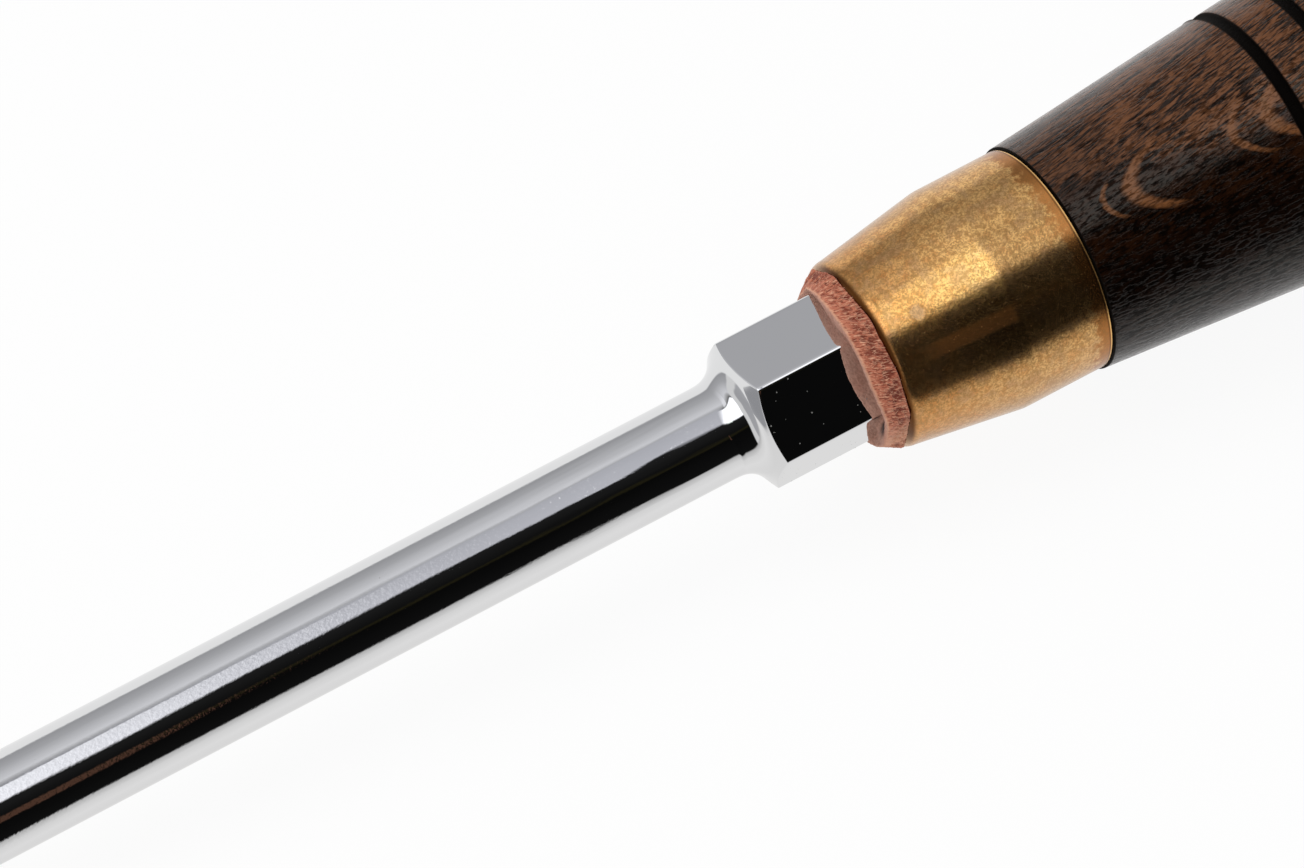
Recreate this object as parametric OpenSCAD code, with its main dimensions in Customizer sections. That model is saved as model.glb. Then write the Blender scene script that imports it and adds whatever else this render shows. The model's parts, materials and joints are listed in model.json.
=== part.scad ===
// Heavy flathead screwdriver with a hexagonal bolster, a leather shock washer, a brass ferrule and a turned
// wooden handle. The blade's tang runs through the handle and is riveted over a steel striking cap.
// Every piece is drawn along its own axis, with the tip's edge at z = 0 and the butt at the far end, and the
// whole tool is then laid down at rest on the shank's front end and the handle's swell.

/* [Blade] */
// Diameter of the round shank
shank_d = 7; // [5:0.5:8]
// Length from the tip's edge to the front of the bolster
blade_len = 150; // [100:5:220]
// Thickness of the tip's edge
tip_t = 1.2; // [0.8:0.1:2]
// Length of the two hollow-ground faces of the tip
grind_len = 20; // [14:1:30]

/* [Bolster] */
// Width of the hexagon across its flats
hex_af = 10; // [9:0.5:12]
// Length of the hexagon from its front to the washer's seat
hex_len = 7.3; // [5:0.1:12]
// Radius of the fillet between the shank and the bolster's front
shoulder_r = 1.5; // [0.5:0.1:3]
// Radius of the rounding on the hexagon's front edge
crown_r = 0.75; // [0.3:0.05:1.2]

/* [Tang] */
// Side of the square tang
tang_w = 5; // [4:0.25:5.5]
// Diameter of the round tail behind the square tang
tail_d = 4.5; // [3:0.25:5]
// Diameter of the riveted head at the end of the tail
rivet_d = 7.5; // [6:0.25:10]

/* [Bolster washer] */
// Diameter across the corners of the hand-cut leather washer
washer_d = 14.3; // [13:0.1:16]
// Thickness of the leather washer
washer_t = 2.2; // [1:0.1:4]

/* [Ferrule] */
// Diameter of the ferrule's front end
ferrule_front_d = 14.4; // [13:0.1:16]
// Diameter of the ferrule's straight rear part
ferrule_d = 17; // [16:0.1:19]
// Length of the whole ferrule
ferrule_len = 16; // [13:0.5:24]
// Length of the ferrule's tapered front part
ferrule_taper_len = 10; // [6:0.5:11]
// Thickness of the ferrule's wall
ferrule_wall = 1; // [0.6:0.1:1.6]
// Rounding of the ferrule's front edge
ferrule_lip_r = 0.6; // [0.2:0.1:1]
// Width of the punched stake mark
stake_d = 1.4; // [0.8:0.1:2.5]
// Depth of the punched stake mark
stake_depth = 0.15; // [0.05:0.05:0.3]
// Distance of the stake mark from the ferrule's front
stake_pos = 3.2; // [2:0.1:5]
// Turn of the stake mark round the axis, from the top
stake_turn = 36; // [-180:1:180]

/* [Handle] */
// How far the wood stands proud of the ferrule where they meet
handle_proud = 0.15; // [0:0.05:0.5]
// Half angle of the handle's straight flare
flare_angle = 5.2; // [4.5:0.1:7]
// Largest diameter of the handle
handle_d = 27.4; // [25:0.2:32]
// Radius of the long curve that makes the swell
swell_r = 300; // [250:10:400]
// Length of the wood behind the ferrule
handle_len = 100; // [90:1:130]
// Diameter of the handle at its rear end, before the edge is rounded
butt_d = 24; // [20:0.2:26]
// Rounding of the handle's rear edge
butt_r = 2.5; // [1:0.1:4]
// Distance from the ferrule to the first scorched groove
groove_pos = 17.8; // [8:0.1:25]
// Distance from one scorched groove to the next
groove_pitch = 4.2; // [2:0.1:8]
// Number of scorched grooves
groove_count = 2; // [1:1:3]
// Width of a scorched groove
groove_w = 0.95; // [0.5:0.05:2]

/* [Butt] */
// Thickness of the leather disc under the striking cap
butt_washer_t = 3; // [1.5:0.1:6]
// Thickness of the striking cap
cap_t = 4; // [3:0.1:8]
// How far the striking cap's edge stays inside the leather disc's edge
cap_inset = 0.4; // [0:0.1:1.5]
// Chamfer of the striking cap's struck edge
cap_chamfer = 0.8; // [0.2:0.1:1.5]

/* [Fits] */
// Clearance on each side between the tang and what it passes through, and between the wood and the ferrule
fit_gap = 0.05; // [0.02:0.01:0.2]

/* [Hidden] */
$fn = 128;
// Fine segments for the two long curves
curve_fn = 1440;
// Directions of the corners of the hand-cut washer, from the top
washer_corners = [25, 62, 90, 131, 166, 204, 238, 275, 305, 337];
// Extra length of a cut, so that it runs clear of the faces
cut = 1;

// Places along the axis
bolster_z = blade_len;
washer_z = bolster_z + hex_len;
ferrule_z = washer_z + washer_t;
handle_z = ferrule_z + ferrule_len;
butt_z = handle_z + handle_len;
cap_z = butt_z + butt_washer_t;
tool_len = cap_z + cap_t;

// Finishes as they show
chrome = [0.72, 0.73, 0.75];
red_leather = [0.66, 0.38, 0.30];
aged_brass = [0.72, 0.56, 0.30];
dark_wood = [0.20, 0.12, 0.07];
brown_leather = [0.45, 0.28, 0.20];
plain_steel = [0.55, 0.56, 0.58];

// Hexagon's radius at its corners
hex_r = hex_af / 2 / cos(30);
// Radius of the wheel that hollow-grinds the tip, with the two faces parallel at the edge
grind_rise = (shank_d - tip_t) / 2;
grind_r = (grind_len * grind_len + grind_rise * grind_rise) / (2 * grind_rise);

// The handle's flare runs straight until it is tangent to the swell's long curve
handle_front_r = ferrule_d / 2 + handle_proud;
handle_r = handle_d / 2;
swell_offset = swell_r - handle_r;
flare_end_r = swell_r * cos(flare_angle) - swell_offset;
flare_len = (flare_end_r - handle_front_r) / tan(flare_angle);
swell_pos = flare_len + swell_r * sin(flare_angle);
// Behind the swell a second curve, level at the largest diameter, falls to the rear end's diameter
rear_len = handle_len - swell_pos;
rear_drop = (handle_d - butt_d) / 2;
rear_r = (rear_len * rear_len + rear_drop * rear_drop) / (2 * rear_drop);
rear_offset = rear_r - handle_r;
// The rear edge's rounding is tangent to the rear curve and to the flat end
butt_round_z = handle_len - butt_r;
butt_face_r = sqrt(pow(rear_r - butt_r, 2) - pow(butt_round_z - swell_pos, 2)) - rear_offset;
butt_tangent_z = swell_pos + (butt_round_z - swell_pos) * rear_r / (rear_r - butt_r);
cap_r = butt_face_r - cap_inset;
// Half of the groove's width is its depth, so that its section is a half circle on the wood's surface
groove_r = groove_w / 2;
// Radius of the ball that leaves the stake mark
stake_r = (stake_d * stake_d / 4 + stake_depth * stake_depth) / (2 * stake_depth);

// Holes that the tang and its tail pass through
mortise_w = tang_w + 2 * fit_gap;
tang_hole_d = mortise_w * sqrt(2) + 2 * fit_gap;
tail_hole_d = tail_d + 2 * fit_gap;
rivet_len = (rivet_d - tail_d) / 2;

// At rest the swell and the round shank's front end, where the ground faces run out, touch the floor: the slope
// of the line through that end that is tangent to the swell
rest_reach = handle_z + swell_pos - grind_len;
rest_drop = swell_offset + shank_d / 2;
rest_angle = atan2(rest_reach, rest_drop) - acos(swell_r / norm([rest_reach, rest_drop]));
rest_lift = shank_d / 2 * cos(rest_angle) - grind_len * sin(rest_angle);
rest_front = -tip_t / 2 * sin(rest_angle);
rest_back = tool_len * cos(rest_angle) + (cap_r - cap_chamfer) * sin(rest_angle);

// Lays a piece down at rest, with the origin under the middle of the tool
module at_rest() {
    translate([-(rest_front + rest_back) / 2, 0, rest_lift])
        rotate([0, 90 - rest_angle, 0])
            children();
}

// Round shank with its two hollow-ground tip faces
module shank() {
    difference() {
        cylinder(d = shank_d, h = bolster_z + crown_r);
        for (side = [-1, 1])
            translate([side * (tip_t / 2 + grind_r), 0, 0])
                rotate([90, 0, 0])
                    cylinder(r = grind_r, h = shank_d + 2 * cut, center = true, $fn = curve_fn);
    }
}

// Half section of the bolster's round front: a hollow fillet, a flat ring and a rounded edge
module bolster_section() {
    shank_r = shank_d / 2;
    square([hex_r - crown_r, hex_len]);
    translate([0, crown_r])
        square([hex_r, hex_len - crown_r]);
    translate([hex_r - crown_r, crown_r])
        circle(r = crown_r);
    difference() {
        translate([0, -shoulder_r])
            square([shank_r + shoulder_r, shoulder_r + crown_r]);
        translate([shank_r + shoulder_r, -shoulder_r])
            circle(r = shoulder_r);
    }
}

// Hexagon cut out of the round bolster, with two flats level, and the whole fillet in front of it
module bolster() {
    intersection() {
        rotate_extrude()
            bolster_section();
        rotate([0, 0, 30])
            translate([0, 0, -shoulder_r - cut])
                cylinder(r = hex_r, h = hex_len + shoulder_r + cut, $fn = 6);
    }
}

// Square tang, round tail and the riveted head that fills the cap's countersink
module tang() {
    translate([-tang_w / 2, -tang_w / 2, washer_z - cut])
        cube([tang_w, tang_w, butt_z - washer_z + cut]);
    translate([0, 0, butt_z - cut])
        cylinder(d = tail_d, h = tool_len - butt_z + cut);
    translate([0, 0, tool_len - rivet_len])
        cylinder(d1 = tail_d, d2 = rivet_d, h = rivet_len);
}

module blade() {
    color(chrome)
        at_rest() {
            shank();
            translate([0, 0, bolster_z])
                bolster();
            tang();
        }
}

module bolster_washer() {
    color(red_leather)
        at_rest()
            translate([0, 0, washer_z])
                linear_extrude(washer_t)
                    difference() {
                        polygon([for (turn = washer_corners) washer_d / 2 * [-cos(turn), -sin(turn)]]);
                        circle(d = tang_hole_d);
                    }
}

// Half section of the ferrule, drawn in by an inset on every side but the rear, which may run on
module ferrule_section(inset, lip_r, rear_extra = 0) {
    front_r = ferrule_front_d / 2 - inset;
    rear_r = ferrule_d / 2 - inset;
    polygon([
        [0, inset],
        [front_r - lip_r, inset],
        [front_r, inset + lip_r],
        [rear_r, ferrule_taper_len],
        [rear_r, ferrule_len + rear_extra],
        [0, ferrule_len + rear_extra]
    ]);
}

module ferrule() {
    color(aged_brass)
        at_rest()
            translate([0, 0, ferrule_z])
                difference() {
                    rotate_extrude()
                        ferrule_section(0, ferrule_lip_r);
                    rotate_extrude()
                        ferrule_section(ferrule_wall, ferrule_lip_r / 2, cut);
                    cylinder(d = tang_hole_d, h = 2 * (ferrule_wall + cut), center = true);
                    stake_mark();
                }
}

// Ball that leaves the stake mark on the ferrule's taper
module stake_mark() {
    taper = (ferrule_d - ferrule_front_d) / 2 / (ferrule_taper_len - ferrule_lip_r);
    surface_r = ferrule_front_d / 2 + taper * (stake_pos - ferrule_lip_r);
    rotate([0, 0, 180 + stake_turn])
        translate([surface_r + stake_r - stake_depth, 0, stake_pos])
            sphere(r = stake_r);
}

// Half section of the wood behind the ferrule: flare, swell, rear curve and rounded rear edge
module handle_section() {
    polygon([
        [0, 0],
        [handle_front_r, 0],
        [flare_end_r, flare_len],
        [0, flare_len]
    ]);
    intersection() {
        translate([-swell_offset, swell_pos])
            circle(r = swell_r, $fn = curve_fn);
        translate([0, flare_len])
            square([handle_d, swell_pos - flare_len]);
    }
    intersection() {
        translate([-rear_offset, swell_pos])
            circle(r = rear_r, $fn = curve_fn);
        translate([0, swell_pos])
            square([handle_d, butt_tangent_z - swell_pos]);
    }
    intersection() {
        translate([butt_face_r, butt_round_z])
            circle(r = butt_r);
        translate([0, butt_tangent_z])
            square([handle_d, handle_len - butt_tangent_z]);
    }
    translate([0, butt_round_z])
        square([butt_face_r, butt_r]);
}

module handle() {
    color(dark_wood)
        at_rest()
            difference() {
                union() {
                    translate([0, 0, handle_z])
                        rotate_extrude()
                            handle_section();
                    translate([0, 0, ferrule_z])
                        rotate_extrude()
                            ferrule_section(ferrule_wall + fit_gap, ferrule_lip_r / 2);
                }
                translate([-mortise_w / 2, -mortise_w / 2, ferrule_z])
                    cube([mortise_w, mortise_w, butt_z - ferrule_z + cut]);
                for (i = [0 : groove_count - 1])
                    groove(groove_pos + i * groove_pitch);
            }
}

// Ring that leaves one scorched groove at a distance behind the ferrule
module groove(pos) {
    translate([0, 0, handle_z + pos])
        rotate_extrude()
            translate([handle_front_r + pos * tan(flare_angle), 0])
                circle(r = groove_r);
}

module butt_washer() {
    color(brown_leather)
        at_rest()
            translate([0, 0, butt_z])
                difference() {
                    cylinder(r = butt_face_r, h = butt_washer_t);
                    translate([0, 0, -cut])
                        cylinder(d = tail_hole_d, h = butt_washer_t + 2 * cut);
                }
}

module striking_cap() {
    color(plain_steel)
        at_rest()
            translate([0, 0, cap_z])
                difference() {
                    rotate_extrude()
                        polygon([
                            [0, 0],
                            [cap_r, 0],
                            [cap_r, cap_t - cap_chamfer],
                            [cap_r - cap_chamfer, cap_t],
                            [0, cap_t]
                        ]);
                    translate([0, 0, -cut])
                        cylinder(d = tail_hole_d, h = cap_t + 2 * cut);
                    translate([0, 0, cap_t - rivet_len])
                        cylinder(d1 = tail_hole_d, d2 = rivet_d + 2 * fit_gap, h = rivet_len);
                }
}

blade();
bolster_washer();
ferrule();
handle();
butt_washer();
striking_cap();
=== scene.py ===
import json
import math

import bpy
import numpy as np
from bpy.props import FloatProperty, FloatVectorProperty, IntProperty, PointerProperty
from mathutils import Matrix, Vector


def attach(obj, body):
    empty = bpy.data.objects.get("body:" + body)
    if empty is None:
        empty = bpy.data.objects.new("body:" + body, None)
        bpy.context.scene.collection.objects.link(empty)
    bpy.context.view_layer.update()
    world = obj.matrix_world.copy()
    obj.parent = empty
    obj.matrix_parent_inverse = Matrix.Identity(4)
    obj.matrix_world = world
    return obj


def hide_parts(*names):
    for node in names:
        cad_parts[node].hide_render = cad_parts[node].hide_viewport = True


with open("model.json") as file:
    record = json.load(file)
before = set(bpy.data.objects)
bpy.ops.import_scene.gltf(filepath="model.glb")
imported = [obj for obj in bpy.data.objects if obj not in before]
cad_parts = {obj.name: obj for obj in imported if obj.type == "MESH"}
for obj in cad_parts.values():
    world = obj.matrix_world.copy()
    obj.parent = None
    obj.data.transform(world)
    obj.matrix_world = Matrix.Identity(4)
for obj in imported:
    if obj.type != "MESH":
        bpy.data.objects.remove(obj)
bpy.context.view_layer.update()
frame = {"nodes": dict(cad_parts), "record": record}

bl_info = {
    "name": "Flathead screwdriver",
    "version": (1, 0, 0),
    "blender": (4, 5, 0),
    "location": "3D View > Sidebar > Screwdriver",
    "description": "Builds a heavy flathead screwdriver with a turned wooden handle, piece by piece",
    "category": "Object",
}

# Shapes are drawn in millimetres in the tool's own frame: along the axis from the tip's edge to the
# butt, with turns counted from the top towards the front.
MM = 0.001


def mount(name):
    """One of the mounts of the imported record."""
    return next(row for row in frame["record"]["mounts"] if row["name"] == name)


TIP = Vector(mount("tip")["pos_m"])
AXIS = -Vector(mount("tip")["axis"]).normalized()
FRONT = Vector((0, -1, 0))
TOP = FRONT.cross(AXIS).normalized()
TOOL = Matrix((TOP, FRONT, AXIS)).transposed().to_4x4()
TOOL.translation = TIP


def span(node):
    """Near end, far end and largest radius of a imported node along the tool's axis, in millimetres."""
    to_tool = TOOL.inverted()
    points = np.array([to_tool @ vertex.co for vertex in frame["nodes"][node].data.vertices]) / MM
    return points[:, 2].min(), points[:, 2].max(), np.hypot(points[:, 0], points[:, 1]).max()


BLADE_SPAN = span("blade")
WASHER_SPAN = span("bolster_washer")
FERRULE_SPAN = span("ferrule")
HANDLE_SPAN = span("handle")
BUTT_WASHER_SPAN = span("butt_washer")
CAP_SPAN = span("striking_cap")


def linear(red, green, blue):
    """A colour given as it shows on screen, 0 to 255, as linear light."""
    shares = [value / 255 for value in (red, green, blue)]
    return tuple(s / 12.92 if s <= 0.04045 else ((s + 0.055) / 1.055) ** 2.4 for s in shares)


def length(name, millimetres, description):
    """A length that a user may change, kept in metres."""
    return FloatProperty(
        name=name, description=description, default=millimetres * MM, min=0, precision=5, unit="LENGTH"
    )


def turn(name, degrees, description):
    """An angle that a user may change."""
    return FloatProperty(name=name, description=description, default=math.radians(degrees), unit="ROTATION")


def share(name, value, description):
    """A plain share from 0 to 1 that a user may change."""
    return FloatProperty(name=name, description=description, default=value, min=0, max=1, subtype="FACTOR")


def colour(name, rgb, description):
    """A colour that a user may change, in linear light."""
    return FloatVectorProperty(
        name=name, description=description, default=rgb, min=0, max=1, size=3, subtype="COLOR"
    )


class ScrewdriverSizes(bpy.types.PropertyGroup):
    """Sizes of the pieces that don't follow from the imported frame."""

    shank_diameter: length("Shank diameter", 7.0, "Diameter of the round shank")
    tip_thickness: length("Tip thickness", 1.2, "Thickness of the tip's edge")
    grind_length: length("Grind length", 20.0, "Length of the two hollow-ground faces of the tip")
    hexagon_width: length("Hexagon width", 10.0, "Width of the bolster across its flats")
    hexagon_edge: length("Hexagon edge", 0.36, "Rounding of the hexagon's long edges")
    shoulder_radius: length("Shoulder radius", 1.95, "Hollow fillet between the shank and the bolster")
    crown_slope: turn("Crown slope", 24, "Slope of the chamfer on the hexagon's front corners")
    bolster_front: length("Bolster front", 150.1, "Distance from the tip to the front of the hexagon")
    tang_width: length("Tang width", 5.0, "Side of the square tang")
    tail_diameter: length("Tail diameter", 4.5, "Diameter of the tang's round tail")
    rivet_diameter: length("Rivet diameter", 7.5, "Diameter of the riveted head on the tail")
    crown_lean: length("Crown lean", 0.4, "How far the hexagon's crown lies further back on its far side")
    washer_press: length("Washer press", 0.28, "How far the leather's face is drawn in round the hexagon")
    ferrule_front: length("Ferrule front", 14.4, "Diameter of the ferrule's front end")
    ferrule_taper: length("Ferrule taper", 9.4, "Length of the ferrule's tapered part")
    ferrule_wall: length("Ferrule wall", 1.0, "Thickness of the ferrule's wall")
    ferrule_lip: length("Ferrule lip", 1.1, "Rounding of the ferrule's front edge")
    ferrule_bead: length("Ferrule bead", 0.2, "Rounding of the ferrule's rear edge")
    stake_width: length("Stake width", 1.4, "Width of the punched stake mark")
    stake_depth: length("Stake depth", 0.02, "Depth of the punched stake mark as worn")
    stake_position: length("Stake position", 3.2, "Distance of the stake mark from the ferrule's front")
    stake_turn: turn("Stake turn", 36, "Turn of the stake mark round the axis, from the top")
    wood_proud: length("Wood proud", 0.15, "How far the wood stands above the ferrule")
    flare_angle: turn("Flare angle", 5.2, "Half angle of the handle's straight flare")
    swell_radius: length("Swell radius", 300.0, "Radius of the long curve of the handle's swell")
    butt_diameter: length("Butt diameter", 24.0, "Diameter of the handle at its rear end")
    butt_rounding: length("Butt rounding", 2.5, "Rounding of the handle's rear edge")
    groove_position: length("Groove position", 17.8, "Distance from the ferrule to the first groove")
    groove_pitch: length("Groove pitch", 4.2, "Distance between the scorched grooves")
    groove_width: length("Groove width", 0.95, "Width of a scorched groove")
    groove_count: IntProperty(
        name="Groove count", description="Number of scorched grooves", default=2, min=1, max=3
    )
    cap_chamfer: length("Cap chamfer", 0.8, "Chamfer of the striking cap's edge")


class ScrewdriverColours(bpy.types.PropertyGroup):
    """Colours of the finishes."""

    chrome: colour("Chrome", (0.775, 0.778, 0.785), "Bright chrome plate")
    dust: colour("Dust", linear(125, 125, 122), "Specks of dust on the chrome")
    leather_edge: colour("Leather edge", linear(197, 118, 91), "Cut edge of the leather washer")
    leather_dark: colour("Leather dark", linear(114, 46, 33), "Dark clumps in the cut edge")
    leather_fibre: colour("Leather fibre", linear(236, 180, 148), "Loose pale fibres and the lip")
    leather_face: colour("Leather face", linear(221, 168, 146), "Rolled face of the leather washer")
    brass: colour("Brass", (0.99, 0.58, 0.215), "Aged brass of the ferrule")
    brass_dark: colour("Brass dark", (0.42, 0.235, 0.08), "Darker grain of the brass")
    brass_red: colour("Brass red", (0.68, 0.28, 0.08), "Reddish tarnish of the brass")
    brass_dull: colour("Brass dull", (0.50, 0.30, 0.165), "Dulled brass that the hand doesn't rub")
    # Besides tarnish at the edges, this colour paints shade on the ferrule's front lip, under the leather
    # washer
    brass_tarnish_and_shade: colour("Brass tarnish", (0.12, 0.042, 0.009), "Dark tarnish at the ferrule's edges")
    wood_dark: colour("Wood dark", (0.0018, 0.0010, 0.0007), "Near-black ground of the stained wood")
    wood_brown: colour("Wood brown", (0.150, 0.056, 0.020), "Brown streaks of the wood")
    wood_red: colour("Wood red", (0.014, 0.0040, 0.0009), "Red-brown flecks in the darker wood")
    wood_light: colour("Wood light", (0.190, 0.072, 0.025), "Pale growth rings cut through by the turning")
    scorch: colour("Scorch", (0.002, 0.0015, 0.0012), "Burnt wood in the grooves")
    butt_leather: colour("Butt leather", linear(112, 66, 44), "Pressed leather disc at the butt")
    steel: colour("Steel", (0.46, 0.46, 0.47), "Turned steel of the striking cap")


class StudioSettings(bpy.types.PropertyGroup):
    """Camera and light of the studio."""

    lens: FloatProperty(name="Lens", description="Focal length", default=331.29, unit="CAMERA")
    distance: length("Distance", 835.14, "Distance of the camera from its target")
    azimuth: turn("Azimuth", -26.326, "Turn of the camera round the tool")
    elevation: turn("Elevation", 43.565, "Height of the camera above the horizon")
    roll: turn("Roll", -6.838, "Roll of the camera about its own line of sight")
    lamp_level: share("Lamp level", 0.38, "Level of the soft overhead lamp on a level surface")
    plain_level: share("Plain level", 0.62, "Level of the even light on surfaces that don't shine")


# How far the camera's aim lies from the axis at the washer's front, right and up, in millimetres
AIM = (-12.27, -4.22)
# Width of the camera's sensor, in millimetres
SENSOR = 36.0
# Nearest and farthest distance that the camera shows, in metres
CAMERA_REACH = (0.05, 50)
# Half of the floor's width, in metres
FLOOR_REACH = 4.0
# Place and width of the soft lamp, in metres, and how its power compares with a small lamp straight above
LAMP_PLACE = Vector((-0.15, 0.25, 0.9))
LAMP_SIZE = 0.9
LAMP_GAIN = 1.2
# Directions of the corners of the hand-cut washer's rear, in degrees from the top
WASHER_CORNERS = (25, 62, 90, 131, 166, 204, 238, 275, 314, 345)
# Worn front edge of the washer: degrees from the top, then radius and distance behind its front
WASHER_EDGE = (
    (-47, 5.85, 1.05),
    (-36, 6.15, 1.02),
    (-20, 6.25, 0.82),
    (0, 6.60, 0.48),
    (10, 6.82, 0.38),
    (28, 7.12, 0.32),
    (45, 7.08, 0.27),
    (60, 7.12, 0.20),
    (72, 7.12, 0.28),
    (86, 7.14, 0.50),
    (93, 7.06, 0.46),
    (110, 6.68, 0.46),
    (118, 6.54, 0.56),
    (133, 6.30, 1.02),
    (170, 6.20, 1.05),
    (250, 6.00, 1.05),
)
# First of the washer's rings that carry loose fibres, the ring after the last, and how many fibres
RIM_ROWS = (40, 76)
LOOSE_FIBRES = 900
# Values painted on the washer for its finish to read, each with its level on the loose fibres
PAINTED = {"cut_edge": 1, "lip": 0.8, "pits_and_shade": 0}
# How deep the hexagon's end is pressed into the leather, in millimetres
HEXAGON_SINK = 1.85
# How far the leather's cut edge laps over the ferrule's rounded lip, in millimetres
LEATHER_LAP = 0.2
# Radius of the round holes for the square tang and for its tail, in millimetres
TANG_HOLE = 3.66
TAIL_HOLE = 2.31
# Gap on each side between pieces that fit into each other, in millimetres
CLEARANCE = 0.05
# Turn round the tool that faces the photographer, in degrees
NEAR_TURN = 42.7
# Growth rings of the wood, in millimetres: distance from the axis, half of the thickness, and how far
# each shows to the sides
GROWTH_RINGS = (
    (8.88, 0.016, 1.3),
    (9.08, 0.045, 2.4),
    (9.83, 0.024, 2.2),
    (10.09, 0.042, 2.5),
    (10.62, 0.030, 2.2),
    (11.30, 0.060, 2.8),
    (11.85, 0.030, 2.4),
    (12.60, 0.050, 3.0),
    (13.20, 0.030, 2.5),
)
# Turn in degrees at which the growth rings lie flat, and the radius to which they bend there
RING_TURN = 33.5
RING_RADIUS = 42.0
# Turn of the ferrule's side that is rubbed bright, and how far its painted red reflection streak lies below
# the near side, in degrees
RUBBED_TURN = 30.0
REFLECTION_STREAK_TURN = 15.4


def mm(value):
    """A length property in millimetres."""
    return value / MM


def unevenness(draw, turns, across, cells_round, cells_across):
    """Smooth seeded unevenness from -1 to 1 over a ring, closed on itself; across runs from 0 to 1."""
    grid = draw.uniform(-1, 1, (cells_across + 2, cells_round))
    round_place = (turns / (2 * np.pi) % 1) * cells_round
    across_place = np.clip(across, 0, 1) * cells_across
    left, low = np.floor(round_place).astype(int) % cells_round, np.floor(across_place).astype(int)
    right = (left + 1) % cells_round
    s, t = round_place % 1, across_place % 1
    s, t = s * s * (3 - 2 * s), t * t * (3 - 2 * t)
    lower = grid[low, left] * (1 - s) + grid[low, right] * s
    upper = grid[low + 1, left] * (1 - s) + grid[low + 1, right] * s
    return lower * (1 - t) + upper * t


def ease(value, start, end):
    """Rises smoothly from 0 at start to 1 at end."""
    t = np.clip((value - start) / (end - start), 0, 1)
    return t * t * (3 - 2 * t)


def near(turns, degrees, spread):
    """1 at a turn given in degrees, falling off to both sides over a spread in degrees."""
    away = np.abs((np.degrees(turns) - degrees + 180) % 360 - 180)
    return np.exp(-((away / spread) ** 2))


def soften(values, degrees):
    """Evens out one value per turn, all the way round, over a few degrees to each side."""
    reach = max(2, round(len(values) * degrees / 360))
    window = np.hanning(2 * reach + 1)
    padded = np.concatenate([values[-reach:], values, values[:reach]])
    return np.convolve(padded, window / window.sum(), "valid")


def soft_min(a, b, width):
    """The smaller of two lengths, with the corner between them rounded over a width."""
    h = np.clip(0.5 + 0.5 * (b - a) / width, 0, 1)
    return b * (1 - h) + a * h - width * h * (1 - h)


def polygon_radius(turns, sides, half_width, corner):
    """Radius of a regular polygon with rounded corners and a flat at turn 0."""
    half = np.pi / sides
    away = np.abs((turns + half) % (2 * half) - half)
    centre = (half_width - corner) / np.cos(half)
    reach = np.arctan2(centre * np.sin(half), half_width)
    slant = half - away
    rounded = centre * np.cos(slant) + np.sqrt(np.maximum(corner**2 - (centre * np.sin(slant)) ** 2, 0))
    return np.where(away > reach, rounded, half_width / np.cos(away))


def ring(radius, turns, z):
    """One ring of points round the axis."""
    radius = np.broadcast_to(radius, turns.shape)
    return np.stack([radius * np.cos(turns), radius * np.sin(turns), np.broadcast_to(z, turns.shape)], -1)


def full_turn(count):
    """Directions spread evenly all the way round."""
    return np.linspace(0, 2 * np.pi, count, endpoint=False)


def turned(profile, turns):
    """Rings of a shape round the axis, from pairs of radius and distance along it."""
    return np.stack([ring(radius, turns, z) for radius, z in profile])


def arc(centre_r, centre_z, radius, start, end, steps):
    """Pairs along a quarter of a circle; the angle runs from outwards, 0, to rearwards, 90 degrees."""
    angles = np.radians(np.linspace(start, end, steps))
    return [(centre_r + radius * np.cos(a), centre_z + radius * np.sin(a)) for a in angles]


def add_object(name, data):
    """A new object in the scene."""
    made = bpy.data.objects.new(name, data)
    bpy.context.scene.collection.objects.link(made)
    return made


def skin(name, rings, material, hollow, extra=None):
    """Closed mesh over rings of points: hollow joins the last to the first, else the ends are capped."""
    rows, columns = rings.shape[:2]
    points = rings.reshape(-1, 3)
    index = np.arange(rows * columns).reshape(rows, columns)
    here = index if hollow else index[:-1]
    beyond = np.roll(index, -1, 0) if hollow else index[1:]
    quads = np.stack([here, np.roll(here, -1, 1), np.roll(beyond, -1, 1), beyond], -1)
    faces = quads.reshape(-1, 4).tolist()
    if not hollow:
        ends = rings[[0, -1]].mean(1)
        first, last = len(points), len(points) + 1
        points = np.vstack([points, ends])
        low, high = index[0], index[-1]
        faces += [[first, b, a] for a, b in zip(low.tolist(), np.roll(low, -1).tolist())]
        faces += [[last, a, b] for a, b in zip(high.tolist(), np.roll(high, -1).tolist())]
    if extra is not None:
        more_points, more_faces = extra
        faces += [[corner + len(points) for corner in face] for face in more_faces]
        points = np.vstack([points, more_points])
    rotation = np.array(TOOL.to_3x3())
    world = points * MM @ rotation.T + np.array(TIP)
    mesh = bpy.data.meshes.new(name)
    mesh.from_pydata(world.tolist(), [], faces)
    mesh.shade_smooth()
    mesh.materials.append(material)
    return add_object(name, mesh)


def paint(piece, name, values):
    """Keeps one value for each point of a piece, for its finish to read."""
    attribute = piece.data.attributes.new(name, "FLOAT", "POINT")
    attribute.data.foreach_set("value", values.astype(np.float32))


def fit(piece, node):
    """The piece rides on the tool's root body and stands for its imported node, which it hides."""
    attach(piece, "root")
    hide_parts(node)


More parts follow.
